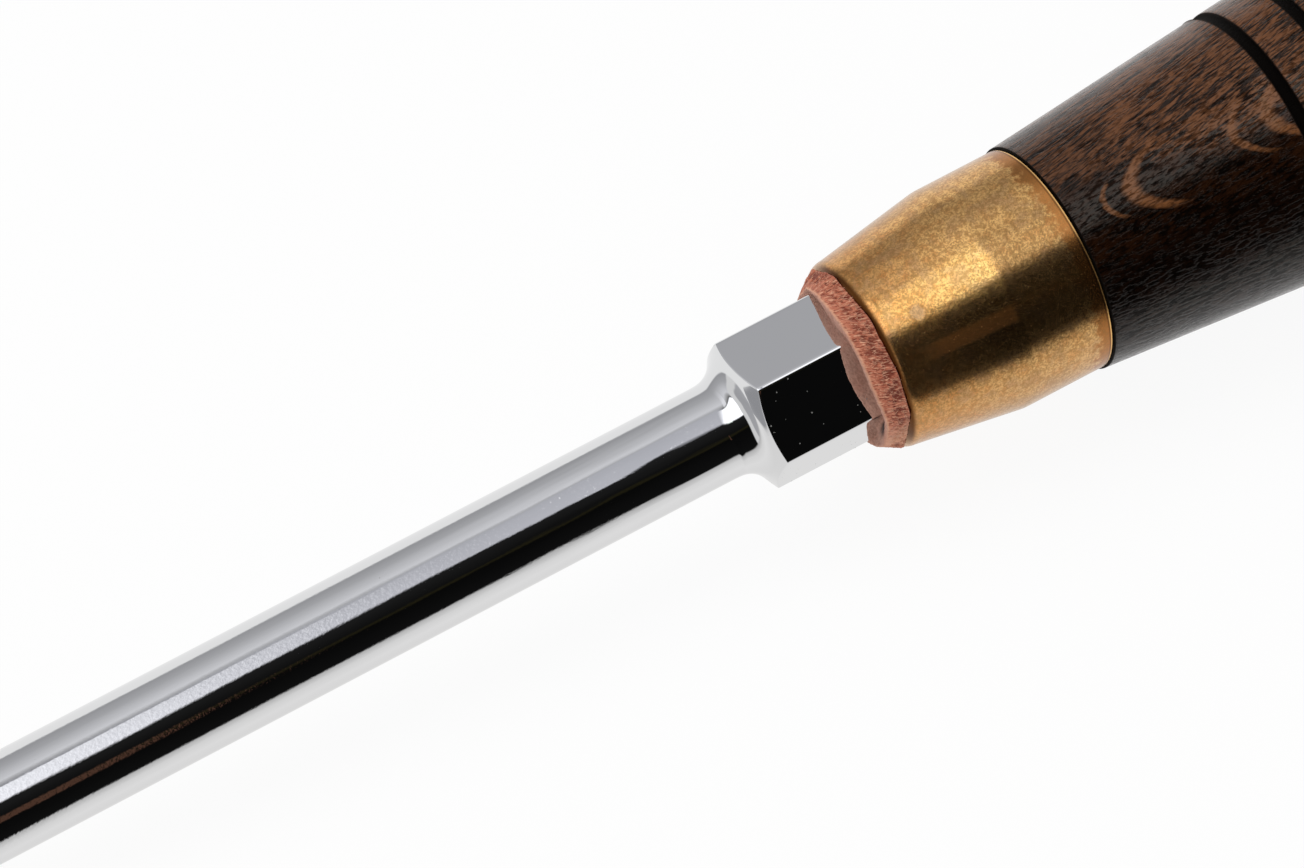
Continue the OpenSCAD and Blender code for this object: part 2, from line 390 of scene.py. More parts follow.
class Wiring:
    """Adds nodes to the tree of a material or world and links them, so that a finish reads downwards."""

    def __init__(self, owner):
        owner.use_nodes = True
        self.owner, self.tree = owner, owner.node_tree
        self.tree.nodes.clear()

    def feed(self, socket, value):
        """Links a socket to another, or sets its number or colour."""
        if isinstance(value, bpy.types.NodeSocket):
            self.tree.links.new(value, socket)
        elif value is not None:
            socket.default_value = (*value, 1) if socket.type == "RGBA" and len(value) == 3 else value

    def node(self, kind, inputs=(), **settings):
        """A new node with its settings and inputs, by order or by name."""
        made = self.tree.nodes.new(kind)
        for key, value in settings.items():
            setattr(made, key, value)
        pairs = inputs.items() if isinstance(inputs, dict) else enumerate(inputs)
        for key, value in pairs:
            self.feed(made.inputs[key], value)
        return made

    def math(self, operation, *values):
        return self.node("ShaderNodeMath", values, operation=operation).outputs[0]

    def times(self, product, *others):
        for value in others:
            product = self.math("MULTIPLY", product, value)
        return product

    def plus(self, a, b):
        return self.math("ADD", a, b)

    def less(self, a, b):
        return self.math("SUBTRACT", a, b)

    def scaled(self, value, factor, added):
        """A value times a factor, plus what is added."""
        return self.math("MULTIPLY_ADD", value, factor, added)

    def most(self, a, b):
        return self.math("MAXIMUM", a, b)

    def gap(self, a, b):
        return self.math("ABSOLUTE", self.less(a, b))

    def range(self, value, low, high, to_low=0, to_high=1, smooth=True):
        way = "SMOOTHSTEP" if smooth else "LINEAR"
        inputs = (value, low, high, to_low, to_high)
        return self.node("ShaderNodeMapRange", inputs, interpolation_type=way).outputs[0]

    def fade(self, value, start, end):
        return self.range(value, start, end, 1, 0)

    def window(self, value, start, full, hold, end):
        """1 between full and hold, falling to 0 at start and end."""
        return self.times(self.range(value, start, full), self.fade(value, hold, end))

    def vector(self, operation, *values, out=0):
        return self.node("ShaderNodeVectorMath", values, operation=operation).outputs[out]

    def dot(self, place, direction):
        return self.vector("DOT_PRODUCT", place, tuple(direction), out="Value")

    def stretch(self, place, *scales):
        return self.vector("MULTIPLY", place, scales)

    def split(self, place):
        return self.node("ShaderNodeSeparateXYZ", (place,)).outputs

    def join(self, x, y, z):
        return self.node("ShaderNodeCombineXYZ", (x, y, z)).outputs[0]

    def place(self):
        """Place on the tool in millimetres, in the tool's own frame."""
        seen = self.node("ShaderNodeTexCoord").outputs["Object"]
        inputs = {"Vector": seen, "Location": TIP, "Rotation": TOOL.to_euler(), "Scale": (MM, MM, MM)}
        return self.node("ShaderNodeMapping", inputs, vector_type="TEXTURE").outputs[0]

    def noise(self, place, scale, detail=2, roughness=0.5, distortion=0):
        inputs = {"Vector": place, "Scale": scale, "Detail": detail}
        inputs |= {"Roughness": roughness, "Distortion": distortion}
        return self.node("ShaderNodeTexNoise", inputs).outputs[0]

    def streaky(self, place, across, along, detail, roughness=0.5, distortion=0):
        """Noise with one scale across the tool and another along its axis."""
        return self.noise(self.stretch(place, across, across, along), 1, detail, roughness, distortion)

    def mix(self, factor, a, b):
        return self.node("ShaderNodeMix", {0: factor, 6: a, 7: b}, data_type="RGBA").outputs[2]

    def blend(self, factor, a, b):
        return self.node("ShaderNodeMix", {0: factor, 2: a, 3: b}, data_type="FLOAT").outputs[0]

    def layers(self, base, *coats):
        """A colour with coats laid over it, from pairs of cover and colour."""
        for cover, coat in coats:
            base = self.mix(cover, base, coat)
        return base

    def ramp(self, value, stops):
        """Runs through grey levels or colours, from pairs of place and level or colour."""
        made = self.node("ShaderNodeValToRGB", (value,))
        elements = made.color_ramp.elements
        while len(elements) < len(stops):
            elements.new(1)
        for element, (place, level) in zip(elements, stops):
            element.position = place
            element.color = (level, level, level, 1) if isinstance(level, (int, float)) else (*level, 1)
        return made.outputs[0]

    def bump(self, *reliefs):
        """Reliefs laid over each other, from pairs of height and depth in millimetres."""
        normal = None
        for height, depth in reliefs:
            inputs = {"Height": height, "Distance": depth * MM, "Strength": 1, "Normal": normal}
            normal = self.node("ShaderNodeBump", inputs).outputs[0]
        return normal

    def surface(self, **inputs):
        """Finishes the material, from the shader's inputs by name."""
        named = {key.replace("_", " "): value for key, value in inputs.items()}
        shader = self.node("ShaderNodeBsdfPrincipled", named).outputs[0]
        self.node("ShaderNodeOutputMaterial", (shader,))
        return self.owner


def finish(name):
    """The wiring of a new material."""
    return Wiring(bpy.data.materials.new(name))


def outward(degrees):
    """Direction away from the axis at a turn."""
    angle = math.radians(degrees)
    return math.cos(angle), math.sin(angle), 0


def chrome_finish(colours, sizes):
    """Bright chrome: slight waviness of a forging, dust specks, a ground tip and a riveted tail."""
    w = finish("bright_chrome")
    place = w.place()
    z = w.split(place)[2]
    front, grind, butt = mm(sizes.bolster_front), mm(sizes.grind_length), HANDLE_SPAN[1]
    hammered = w.range(z, front - 28, front - 12, 0.2, 1)
    wavy = w.less(w.streaky(place, 1.3, 0.11, 1, 0.4), 0.5)
    wavy = w.times(wavy, w.fade(z, front - 7, front - 1), hammered)
    peel = w.times(w.streaky(place, 5, 3, 2, 0.6), w.fade(z, front - 2, front - 0.5))
    peel = w.times(peel, w.range(z, front - 13, front - 6, 1, 0.3))
    lines = w.streaky(place, 0.4, 14, 3, 0.6)
    worked = w.most(w.fade(z, grind - 0.6, grind + 0.4), w.range(z, butt - 1, butt))
    specks = w.node("ShaderNodeTexVoronoi", {"Vector": place, "Scale": 2.3}, feature="F1").outputs
    settled = w.range(z, front - 0.5, front + 0.3, 0.997, 0.5)
    size = w.range(w.split(specks["Color"])[0], settled, 1, 0, 0.16, smooth=False)
    dust = w.math("LESS_THAN", specks["Distance"], size)
    polish = w.range(w.streaky(place, 0.5, 0.2, 4, 0.6), 0.35, 0.8, 0.015, 0.05)
    rough = w.blend(worked, polish, w.range(lines, 0.3, 0.7, 0.12, 0.26))
    return w.surface(
        Base_Color=w.mix(dust, colours.chrome, colours.dust),
        Metallic=w.less(1, dust),
        Roughness=w.most(rough, w.times(dust, 0.8)),
        Normal=w.bump((wavy, 0.042), (peel, 0.0026), (w.times(lines, worked), 0.004)),
    )


def leather_finish(colours):
    """Tanned leather: a fibrous cut edge with dark clumps, a pale lip, a smoother rolled face and painted
    shade in a hollow of the face.
    """
    w = finish("red_leather")
    place = w.place()
    painted = (w.node("ShaderNodeAttribute", attribute_name=name) for name in PAINTED)
    edge, lip, pits_and_shade = (node.outputs["Fac"] for node in painted)
    x, y, z = w.split(place)
    round_rim = w.times(w.math("ARCTAN2", y, x), WASHER_SPAN[2])
    laid = w.join(w.scaled(z, -0.4, round_rim), w.times(z, 0.22), 0)
    clumps = w.noise(w.stretch(laid, 1, 3, 1), 2.6, 4, 0.7, 0.3)
    fibres = w.noise(laid, 9, 3, 0.7, 0.6)
    cut = w.layers(
        colours.leather_edge,
        (w.range(clumps, 0.48, 0.64, 0, 0.75), colours.leather_dark),
        (w.times(pits_and_shade, 0.85), colours.leather_dark),
        (w.range(fibres, 0.52, 0.66, 0, 0.9), colours.leather_fibre),
        (w.range(fibres, 0.48, 0.34, 0, 0.75), colours.leather_dark),
    )
    face = w.layers(
        colours.leather_face,
        (w.range(w.noise(place, 5, 4, 0.6), 0.35, 0.7, 0, 0.35), colours.leather_dark),
        (w.range(w.noise(place, 0.5), 0.4, 0.65, 0, 0.3), colours.leather_edge),
        # Painted shade in the hollow of the face below the hexagon
        (pits_and_shade, 0.12 * colours.leather_dark),
    )
    return w.surface(
        Base_Color=w.layers(face, (edge, cut), (lip, colours.leather_fibre)),
        Roughness=0.88,
        Specular_IOR_Level=0.25,
        Sheen_Weight=0.12,
        Normal=w.bump((fibres, 0.05), (w.noise(place, 22, 2, 0.6), 0.015)),
    )


def brass_finish(colours, sizes):
    """Aged brass: grain, mottling, reddish tarnish at the edges, painted shade on the front lip, a painted
    red reflection streak and a dulled stake mark.
    """
    w = finish("aged_brass")
    place = w.place()
    z = w.split(place)[2]
    grain, mottle = w.noise(place, 7, 3, 0.8), w.noise(place, 3.2, 3, 0.7)
    blotch, cloud = w.noise(place, 1.6, 4, 0.65), w.noise(place, 0.6, 4, 0.65, 0.3)
    front, rear, _ = FERRULE_SPAN
    taper_end, bead = front + mm(sizes.ferrule_taper), rear - mm(sizes.ferrule_bead)
    side = w.vector("NORMALIZE", w.stretch(place, 1, 1, 0))
    rubbed, towards = w.dot(side, outward(RUBBED_TURN)), w.dot(side, outward(NEAR_TURN))
    dull = w.range(w.scaled(cloud, -0.3, rubbed), 0.05, 0.7, 0.55, 0)
    red = w.plus(w.range(blotch, 0.42, 0.64, 0, 0.55), w.range(z, front, taper_end, 0.55, 0))
    near_rear = w.range(w.scaled(blotch, 3.2, z), rear - 0.1, rear + 0.8, 0, 0.95)
    # Painted shade on the ferrule's front lip, where the leather washer shades it, on the near side
    painted_lip_shade = w.times(w.fade(z, front + 0.35, front + 0.7), w.range(towards, -0.1, 0.4))
    gap = w.vector("DISTANCE", place, tuple(stake_centre(sizes)), out="Value")
    dulled = w.range(w.scaled(mottle, 0.9, gap), 0.8, 1.15, 0.65, 0)
    mark_edge = w.window(w.scaled(blotch, 0.5, w.less(gap, 0.25)), 0.45, 0.6, 0.62, 0.78)
    # Painted reflection: a red streak across the dark band, reddened and made a little less metallic so
    # that it shows
    painted_reflection_streak = w.scaled(mottle, 0.0012, w.dot(side, outward(NEAR_TURN + REFLECTION_STREAK_TURN)))
    painted_reflection_streak = w.times(w.range(painted_reflection_streak, 0.9962, 0.9996), w.range(z, front + 1.6, front + 4))
    painted_reflection_streak = w.times(painted_reflection_streak, w.fade(z, taper_end - 0.3, taper_end + 0.2))
    base = w.layers(
        colours.brass,
        (dull, colours.brass_dull),
        (red, colours.brass_red),
        (w.range(cloud, 0.46, 0.62, 0, 0.5), colours.brass_dull),
        (near_rear, colours.brass_red),
        (w.range(mottle, 0.46, 0.6, 0, 0.6), colours.brass_dark),
        (w.range(grain, 0.46, 0.6, 0, 0.8), colours.brass_dark),
        (w.times(near_rear, 0.5), colours.brass_red),
        (painted_lip_shade, colours.brass_tarnish_and_shade),
        (w.times(near_rear, w.range(towards, 0.74, 0.92, 0.45, 0.05)), colours.brass_tarnish_and_shade),
        (w.range(z, bead - 0.22, bead - 0.12, 0, 0.6), colours.brass_tarnish_and_shade),
        (w.range(z, bead - 0.08, bead), colours.brass),
        (dulled, colours.brass_dull),
        (w.times(mark_edge, 0.35), colours.brass_tarnish_and_shade),
        (w.times(painted_reflection_streak, 0.8), colours.brass_red),
    )
    return w.surface(
        Base_Color=base,
        Metallic=w.scaled(painted_reflection_streak, -0.055, w.range(z, front + 1, taper_end, 0.955, 0.995)),
        Roughness=w.scaled(dulled, 0.12, w.range(grain, 0.3, 0.75, 0.15, 0.28)),
        Normal=w.bump((grain, 0.005), (mottle, 0.005), (cloud, 0.008)),
    )


def wood_finish(colours, sizes):
    """Dark stained wood: growth rings cut by the turning, streaks, pores, scorched grooves and painted
    shade on its lower side.
    """
    w = finish("dark_wood")
    place = w.place()
    x, y, z = w.split(place)
    seam = FERRULE_SPAN[1]
    depth, beside = w.dot(place, outward(RING_TURN)), w.dot(place, outward(RING_TURN + 90))
    fray = w.streaky(place, 2.4, 0.9, 3, 0.6)
    depth = w.plus(depth, w.times(beside, beside, 0.5 / RING_RADIUS))
    depth = w.plus(depth, w.range(fray, 0, 1, -0.025, 0.025, smooth=False))
    sideways = w.scaled(fray, 0.8, w.math("ABSOLUTE", beside))
    rings = 0
    for middle, half, reach in GROWTH_RINGS:
        shown = w.fade(w.gap(depth, middle), 0.5 * half, 1.8 * half)
        rings = w.most(rings, w.times(shown, w.fade(sideways, reach, reach + 0.7)))
    risen = w.join(x, w.scaled(z, 0.15, y), z)
    streaks = w.streaky(risen, 3.4, 0.2, 3, 0.7, 0.15)
    hairs, broad = w.streaky(risen, 8, 0.4, 2, 0.6), w.streaky(risen, 0.9, 0.1, 3)
    tone = w.scaled(hairs, 0.35, w.plus(w.times(streaks, 0.75), w.times(broad, 0.3)))
    wander = w.less(beside, w.range(z, seam + 1, seam + 14, 0, 2.4))
    sapwood = w.fade(w.scaled(broad, 3, wander), -2.4, 0.6)
    # Painted shade: the brown and red streaks are dimmed on the lower side
    painted_shade_dimming = w.range(beside, 3, 5, 1, 0.35)
    brown = w.times(w.range(tone, 0.62, 0.79, 0.04, 1), w.range(sapwood, 0, 1, 0.03, 1))
    brown = w.times(brown, w.range(z, seam + 1, seam + 12, 0.7, 1.25), painted_shade_dimming)
    # Painted shade: more dark pores on the lower side
    painted_shade_pits = w.range(beside, 4.5, 7.5, 0, 0.07)
    pits_and_shade = w.range(w.plus(w.streaky(place, 3.6, 0.8, 3, 0.6), painted_shade_pits), 0.52, 0.62)
    pore = w.most(pits_and_shade, w.range(w.streaky(risen, 8, 1.6, 2), 0.5, 0.62, 0, 0.8))
    burnt = w.fade(z, seam + 0.02, seam + 0.1)
    for groove in groove_places(sizes):
        burnt = w.most(burnt, w.fade(w.gap(z, groove), 0.45, 0.62))
    base = w.layers(
        colours.wood_dark,
        (w.times(w.range(tone, 0.6, 0.78), painted_shade_dimming), colours.wood_red),
        (brown, colours.wood_brown),
        (w.times(rings, w.range(streaks, 0.3, 0.6, 0.6, 1)), colours.wood_light),
        (w.times(pore, 0.6), colours.scorch),
        (burnt, colours.scorch),
    )
    return w.surface(
        Base_Color=base,
        Roughness=w.most(w.range(streaks, 0.3, 0.75, 0.1, 0.2), w.times(burnt, 0.8)),
        Specular_IOR_Level=0.36,
        Specular_Tint=w.mix(w.most(burnt, pore), (1, 0.88, 0.80), (0.12, 0.10, 0.09)),
        Normal=w.bump((w.less(1, pits_and_shade), 0.018), (hairs, 0.012)),
    )


def butt_leather_finish(colours):
    """Pressed leather with a burnished edge in thin layers."""
    w = finish("brown_leather")
    place = w.place()
    layers, grain = w.streaky(place, 0.25, 5, 3, 0.6), w.noise(place, 4, 4, 0.65)
    dark = 0.35 * colours.butt_leather
    coats = (w.range(layers, 0.35, 0.7), dark), (w.range(grain, 0.4, 0.75, 0, 0.5), dark)
    return w.surface(
        Base_Color=w.layers(colours.butt_leather, *coats),
        Roughness=w.range(grain, 0.3, 0.7, 0.45, 0.75),
        Specular_IOR_Level=0.35,
        Normal=w.bump((layers, 0.06), (grain, 0.04)),
    )


def steel_finish(colours):
    """Turned steel: fine rings round the axis, a few darker stains and softened shine."""
    w = finish("turned_steel")
    place = w.place()
    x, y, z = w.split(place)
    radius = w.math("SQRT", w.plus(w.times(x, x), w.times(y, y)))
    lines = w.noise(w.join(radius, 0, z), 7, 3, 0.7)
    stain = w.range(w.noise(place, 0.45, 4, 0.6), 0.45, 0.75, 0, 0.7)
    return w.surface(
        Base_Color=w.mix(stain, colours.steel, 0.55 * colours.steel),
        Metallic=1,
        Roughness=w.range(lines, 0.3, 0.7, 0.22, 0.4),
        Normal=w.bump((lines, 0.012)),
    )


def blade_turns():
    """Directions round the blade, gathered where the hexagon, the tang or the tip turns a corner."""
    turns = set(np.arange(0, 360, 2.0))
    fine = (0, 0.15, 0.3, 0.45, 0.6, 0.75, 0.9, 1.1, 1.4)
    for corner in range(30, 360, 60):
        turns.update((corner + side * step) % 360 for side in (-1, 1) for step in fine)
    for corner in (80.1, 99.9, 260.1, 279.9):
        turns.update(corner + step for step in (-0.8, -0.3, 0, 0.3, 0.8))
    for corner in range(45, 360, 90):
        turns.update(corner + step for step in (-1, 1))
    return np.radians(sorted({round(value, 3) for value in turns}))


def blade_rings(sizes):
    """Rings of the blade: hollow-ground tip, shank, shoulder, hexagon, tang, tail and riveted head."""
    turns = blade_turns()
    shank = mm(sizes.shank_diameter) / 2
    tip = mm(sizes.tip_thickness) / 2
    grind = mm(sizes.grind_length)
    wheel = (grind**2 + (shank - tip) ** 2) / (2 * (shank - tip))
    flatness = np.maximum(np.abs(np.cos(turns)), 1e-3)
    rows = []
    for z in np.concatenate([[0, 0.03, 0.1], np.linspace(0.5, grind + 1, 84)]):
        half = tip + wheel - np.sqrt(wheel**2 - min(z, grind) ** 2) if z <= grind else shank + (z - grind)
        softened = 0.08 * (1 - ease(z, 0, 0.1))
        rows.append((soft_min(np.full_like(turns, shank), half / flatness, 0.06) - softened, z))

    front = mm(sizes.bolster_front)
    shoulder, half_width = mm(sizes.shoulder_radius), mm(sizes.hexagon_width) / 2
    hexagon = polygon_radius(turns, 6, half_width, mm(sizes.hexagon_edge))
    away = np.abs((np.degrees(turns) - NEAR_TURN + 180) % 360 - 180)
    lean = mm(sizes.crown_lean) * ease(away, 60, 130)
    early = 0.25 * near(turns, 12, 18) - 0.2 * near(turns, 46, 18)
    angles = np.linspace(0, math.pi / 2 - sizes.crown_slope, 600)
    bend = shoulder * (1 + 8 * np.exp(-np.degrees(angles) / 2.5)) * angles[1]
    fillet_r, fillet_z = shank + np.cumsum(bend * np.sin(angles)), np.cumsum(bend * np.cos(angles))
    outwards = np.linspace(0.02, 1.2, 80)
    path_r = np.concatenate([fillet_r, fillet_r[-1] + outwards])
    path_z = np.concatenate([fillet_z, fillet_z[-1] + outwards * math.tan(sizes.crown_slope)])
    path_z += front - np.interp(half_width, path_r, path_z)
    along = np.concatenate([[0], np.cumsum(np.hypot(np.diff(path_r), np.diff(path_z)))])
    rows += [(shank, z) for z in np.linspace(grind + 3, path_z[0], 44)]
    bevel = 0.07
    edge = np.interp(hexagon, path_r, along)
    edge_z = np.interp(hexagon, path_r, path_z) + lean
    for part in np.linspace(0, 1, 64)[1:]:
        s = part * (edge - bevel)
        shift = lean * part**2 + early * ease(part, 0.0, 0.2) * (1 - ease(part, 0.2, 0.7))
        rows.append((np.interp(s, along, path_r), np.interp(s, along, path_z) + shift))
    start_r, start_z = rows[-1]
    for t in (0.2, 0.4, 0.6, 0.8, 1.0):
        radius = (1 - t) ** 2 * start_r + 2 * t * (1 - t) * hexagon + t**2 * hexagon
        z = (1 - t) ** 2 * start_z + 2 * t * (1 - t) * edge_z + t**2 * (edge_z + bevel)
        rows.append((radius, z))
    seat = WASHER_SPAN[0] + HEXAGON_SINK
    for part in (0.04, 0.12, 0.25, 0.45, 0.7, 0.9, 1.0):
        rows.append((hexagon, edge_z + bevel + part * (seat - 0.1 - edge_z - bevel)))
    rows.append((hexagon - 0.1, seat))

    tang = polygon_radius(turns, 4, mm(sizes.tang_width) / 2, 0.2)
    tail, rivet = mm(sizes.tail_diameter) / 2, mm(sizes.rivet_diameter) / 2
    butt, end = HANDLE_SPAN[1], BLADE_SPAN[1]
    rows += [(tang, seat), (tang, (seat + butt) / 2), (tang, butt - 0.2), (tang - 0.2, butt)]
    rows += [(tail, butt), (tail, end - (rivet - tail)), (rivet - 0.15, end - 0.15)]
    draw = np.random.default_rng(41)
    for part in (0.97, 0.85, 0.7, 0.5, 0.3, 0.12):
        dents = unevenness(draw, turns, np.full_like(turns, part), 9, 4)
        rows.append((rivet * part, end - 0.05 - 0.05 * dents))
    return turned(rows, turns)


def washer_outline(turns):
    """Radius of the hand-cut washer: straight cuts between corners, softened but for the front one."""
    corners = np.radians(WASHER_CORNERS)
    after = np.append(corners[1:], corners[0] + 2 * np.pi)
    place = (turns - corners[0]) % (2 * np.pi) + corners[0]
    which = np.clip(np.searchsorted(corners, place, side="right") - 1, 0, len(corners) - 1)
    middle, half = (corners[which] + after[which]) / 2, (after[which] - corners[which]) / 2
    radius = WASHER_SPAN[2] * np.cos(half) / np.cos(place - middle)
    sharp = near(turns, 90, 6)
    return soften(radius, 6) * (1 - sharp) + radius * sharp


def washer_rings(sizes):
    """Rings of the leather washer, with how far each point is cut edge, pale lip and dark pit, or painted
    shade on the face.
    """
    turns = full_turn(1200)
    draw = np.random.default_rng(7)
    outline = washer_outline(turns) + 0.05 * unevenness(draw, turns, 0 * turns, 60, 1) - 0.06
    hexagon = polygon_radius(turns, 6, mm(sizes.hexagon_width) / 2, mm(sizes.hexagon_edge))
    front, back, _ = WASHER_SPAN
    edge_turns, edge_radii, edge_places = np.array(WASHER_EDGE).T
    ragged = 0.04 * unevenness(draw, turns, 0 * turns, 70, 1)
    rim = soften(np.interp(np.degrees(turns), edge_turns, edge_radii, period=360), 5) - 0.04 + ragged
    set_back = soften(np.interp(np.degrees(turns), edge_turns, edge_places, period=360), 4) + 0.5 * ragged
    press = mm(sizes.washer_press) + 0.58 * near(turns, 62, 24) + 0.36 * near(turns, 102, 13)
    pocket = front + HEXAGON_SINK + CLEARANCE
    pale_cut = 0.65 * near(turns, 112, 14)
    # Painted shade: where the face darkens in the hollow below the hexagon
    gap = near(turns, 103, 7)
    rows, cut_edge, lip, pits_and_shade = [], [], [], []

    def add(radius, z, edge_share, lip_share, pit_and_shade_share=0.0):
        rows.append(ring(radius, turns, z))
        for kept, value in ((cut_edge, edge_share), (lip, lip_share), (pits_and_shade, pit_and_shade_share)):
            kept.append(np.broadcast_to(value, turns.shape))

    add(TANG_HOLE, pocket, 0, 0)
    add(hexagon - 0.5, pocket, 0, 0)
    add(hexagon - 0.14, front + set_back + press + 0.1, 0, 0)
    for part in np.linspace(0, 1, 26):
        radius = hexagon - 0.1 + (rim - hexagon + 0.1) * part
        slope = set_back + press * (1 - ease(part, 0.0, 0.9))
        rough = 0.035 * unevenness(draw, turns, np.full_like(turns, part), 190, 6)
        z = front + slope + rough + 0.05 * ease(part, 0.9, 1.0)
        shaded = gap * ease(part, 0.1, 0.35) * (1 - ease(part, 0.55, 0.85))
        add(radius, z, ease(part, 0.93, 1.0) * 0.6, 0.6 * ease(part, 0.9, 0.98), shaded)
    rim_front, lapped = rows[-1][:, 2], back + LEATHER_LAP
    for part in np.linspace(0.02, 0.98, 54):
        across = np.full_like(turns, part)
        rearwards = ease(part, 0.15, 0.5) * (1 - 0.6 * ease(part, 0.85, 1.0))
        slanted = turns - math.radians(6) * part
        tufts = unevenness(np.random.default_rng(11), slanted, across, 120, 5)
        strands = unevenness(np.random.default_rng(12), slanted, across, 380, 7)
        clumps = unevenness(np.random.default_rng(13), slanted, across, 100, 5)
        nicks = unevenness(np.random.default_rng(14), slanted, across, 260, 9)
        pit = np.maximum(ease(clumps, -0.1, 0.55), 0.8 * ease(nicks, 0.0, 0.6)) * rearwards
        barrel = 0.06 * (1 - (2 * part - 1) ** 2)
        rough = (0.2 + 0.8 * rearwards) * (0.05 * tufts + 0.045 * strands) - 0.12 * pit
        radius = rim + (outline - 0.02 - rim) * part + barrel + rough
        z = rim_front + 0.02 + (lapped - 0.04 - rim_front) * part
        add(radius, z, 1.0, np.maximum(0.55 * (1 - ease(part, 0.0, 0.07)), pale_cut), pit)
    add(outline - 0.12, lapped, 1.0, 0)
    add(outline - 0.6, back, 1.0, 0)
    add(5.0, back, 0.5, 0)
    add(TANG_HOLE, back, 0, 0)
    return np.stack(rows), np.concatenate(cut_edge), np.concatenate(lip), np.concatenate(pits_and_shade)


def loose_fibres(rings):
    """Short tapering fibres that curl out of the washer's cut edge, as points and faces."""
    draw = np.random.default_rng(23)
    sides, steps = 4, 5
    points, faces = [], []
    for _ in range(LOOSE_FIBRES):
        root = rings[draw.integers(RIM_ROWS[0], RIM_ROWS[1]), draw.integers(rings.shape[1])]
        place, radius, z = np.arctan2(root[1], root[0]), np.hypot(root[0], root[1]) - 0.05, root[2]
        reach, slant = draw.uniform(0.15, 0.55), math.radians(draw.normal(24, 30))
        lift, curl = draw.uniform(0.06, 0.2), draw.uniform(-0.12, 0.12)
        thick = draw.uniform(0.012, 0.032)
        first = len(points)
        for step in range(steps):
            t = step / (steps - 1)
            centre_r = radius + lift * (1.6 * t - t * t)
            centre_turn = place + (reach * math.sin(slant) * t + curl * t * t) / radius
            centre_z = min(z + reach * math.cos(slant) * t, WASHER_SPAN[1] + LEATHER_LAP + 0.1)
            width = thick * (1 - 0.75 * t)
            for side in range(sides):
                a = 2 * np.pi * side / sides
                spread = centre_turn + width * np.cos(a) / radius
                x, y = centre_r * np.cos(spread), centre_r * np.sin(spread)
                points.append((x, y, centre_z + width * np.sin(a)))
        for step in range(steps - 1):
            for side in range(sides):
                a, b = first + step * sides + side, first + step * sides + (side + 1) % sides
                faces.append((a, b, b + sides, a + sides))
        faces.append(tuple(first + side for side in reversed(range(sides))))
        faces.append(tuple(first + (steps - 1) * sides + side for side in range(sides)))
    return np.array(points), faces


def stake_centre(sizes):
    """Where the stake mark lies on the ferrule's taper, in the tool's frame."""
    front_r, position = mm(sizes.ferrule_front) / 2, mm(sizes.stake_position)
    rise = (FERRULE_SPAN[2] - front_r) / (mm(sizes.ferrule_taper) - mm(sizes.ferrule_lip))
    radius = front_r + rise * (position - mm(sizes.ferrule_lip))
    x, y = radius * math.cos(sizes.stake_turn), radius * math.sin(sizes.stake_turn)
    return np.array([x, y, FERRULE_SPAN[0] + position])


def ferrule_rings(sizes):
    """Rings of the ferrule: rolled lip, taper with the stake mark, straight rear and the wall's inside."""
    turns = full_turn(512)
    front, rear, outer = FERRULE_SPAN
    front_r, lip = mm(sizes.ferrule_front) / 2, mm(sizes.ferrule_lip)
    taper, wall = mm(sizes.ferrule_taper), mm(sizes.ferrule_wall)
    bead = mm(sizes.ferrule_bead)
    last = rear - front - bead - 0.05
    places = np.concatenate([np.linspace(lip, taper + 1.5, 84), np.linspace(taper + 2, last, 16)])
    cone = front_r + (outer - front_r) * (places - lip) / (taper - lip)
    outside = soft_min(cone, np.full_like(cone, outer), 0.05)
    profile = [(TANG_HOLE, front), (front_r - lip - 0.6, front)]
    profile += arc(front_r - lip, front + lip, lip, -90, 0, 14)[:-1]
    profile += list(zip(outside, front + places))
    profile += arc(outer - bead, rear - bead, bead, 0, 90, 9)
    profile += [(outer - wall + 0.08, rear), (outer - wall, rear - 0.08), (outer - wall, front + taper)]
    profile += [(front_r - wall, front + wall + lip / 2), (front_r - wall - lip / 2, front + wall)]
    profile += [(TANG_HOLE, front + wall)]
    rings = turned(profile, turns)
    gap = np.linalg.norm(rings - stake_centre(sizes), axis=-1)
    reach = mm(sizes.stake_width) / 2
    dent = mm(sizes.stake_depth) * (1 - ease(gap, 0.2 * reach, reach))
    away = np.hypot(rings[..., 0], rings[..., 1])
    outside_only = away > front_r - 0.2
    rings[..., :2] *= (1 - np.where(outside_only, dent, 0) / away)[..., None]
    return rings


def groove_places(sizes):
    """Distances of the scorched grooves along the axis."""
    first, pitch = FERRULE_SPAN[1] + mm(sizes.groove_position), mm(sizes.groove_pitch)
    return [first + i * pitch for i in range(sizes.groove_count)]


